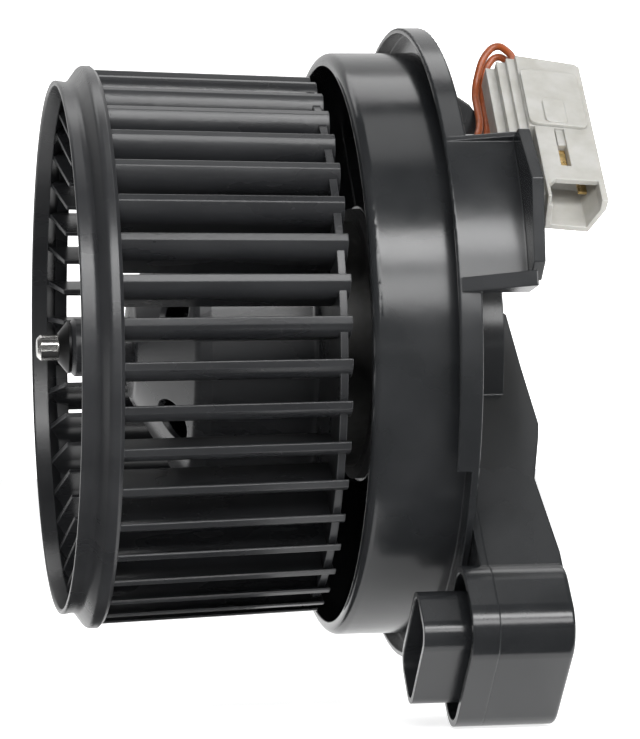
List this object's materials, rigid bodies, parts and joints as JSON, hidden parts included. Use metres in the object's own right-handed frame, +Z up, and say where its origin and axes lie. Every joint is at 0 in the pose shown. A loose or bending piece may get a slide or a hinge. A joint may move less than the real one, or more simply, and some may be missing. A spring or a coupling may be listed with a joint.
{
  "type": "blower motor wheel",
  "caption": "Blower motor assembly: squirrel-cage wheel on an enclosed DC motor, round flanged housing, cooling duct with spigot, and a wired connector.",
  "frame": {"origin": "on the wheel's axis, in the plane of the flange face that meets the duct housing", "axes": "X is the wheel's axis, with the inlet towards -X and the motor's rear towards +X; +Z up; the connector and the cooling spout are towards -Y"},
  "size_m": [0.1433, 0.1825, 0.1879],
  "materials": {
    "wheel_plastic": "satin black glass-filled nylon",
    "housing_plastic": "glossy black moulded plastic",
    "shaft_steel": "ground steel",
    "spring_steel": "dark phosphated spring steel",
    "can_steel": "zinc-plated sheet steel",
    "bronze": "sintered bronze",
    "ferrite": "ferrite",
    "lamination": "stacked laminations",
    "copper": "enamelled copper",
    "phenolic": "brown phenolic",
    "brass": "brass",
    "carbon": "carbon graphite",
    "black_rubber": "rubber",
    "washer_plastic": "natural nylon",
    "connector_nylon": "natural nylon",
    "wire_orange": "orange insulation",
    "screw_steel": "dark zinc"
  },
  "bodies": {
    "housing": {"motor_can": "can_steel", "motor_end_cap": "can_steel", "front_bush": "bronze", "rear_bush": "bronze", "magnet_upper": "ferrite", "magnet_lower": "ferrite", "brush_plate": "phenolic", "brush_holder_upper": "brass", "brush_holder_lower": "brass", "brush_spring_upper": "shaft_steel", "brush_spring_lower": "shaft_steel", "motor_isolator": "black_rubber", "motor_housing": "housing_plastic", "duct_spigot": "housing_plastic", "duct_cover": "housing_plastic", "cover_screws": "screw_steel", "connector_body": "connector_nylon", "connector_cover": "connector_nylon", "terminal_left": "brass", "terminal_right": "brass", "wire_grommet": "black_rubber", "wire_near": "wire_orange", "wire_far": "wire_orange"},
    "rotor": {"wheel_inlet_ring": "wheel_plastic", "wheel_blades": "wheel_plastic", "wheel_back": "wheel_plastic", "wheel_hub": "wheel_plastic", "hub_clip": "spring_steel", "shaft": "shaft_steel", "armature_core": "lamination", "windings_front": "copper", "windings_rear": "copper", "commutator": "copper", "front_thrust_washer": "washer_plastic", "rear_thrust_washer": "washer_plastic"},
    "upper_brush": {"brush_upper": "carbon"},
    "lower_brush": {"brush_lower": "carbon"}
  },
  "joints": [
    {"name": "wheel_spin", "type": "hinge", "parent": "housing", "child": "rotor", "pos_m": [0, 0, 0], "axis": [1, 0, 0], "continuous": true},
    {"name": "upper_brush_slide", "type": "slide", "parent": "housing", "child": "upper_brush", "axis": [0, 0, 1], "range_m": [0, 0.002], "stiffness_N_per_m": 150, "springref_m": -0.008, "deforming": ["brush_spring_upper"]},
    {"name": "lower_brush_slide", "type": "slide", "parent": "housing", "child": "lower_brush", "axis": [0, 0, -1], "range_m": [0, 0.002], "stiffness_N_per_m": 150, "springref_m": -0.008, "deforming": ["brush_spring_lower"]}
  ]
}
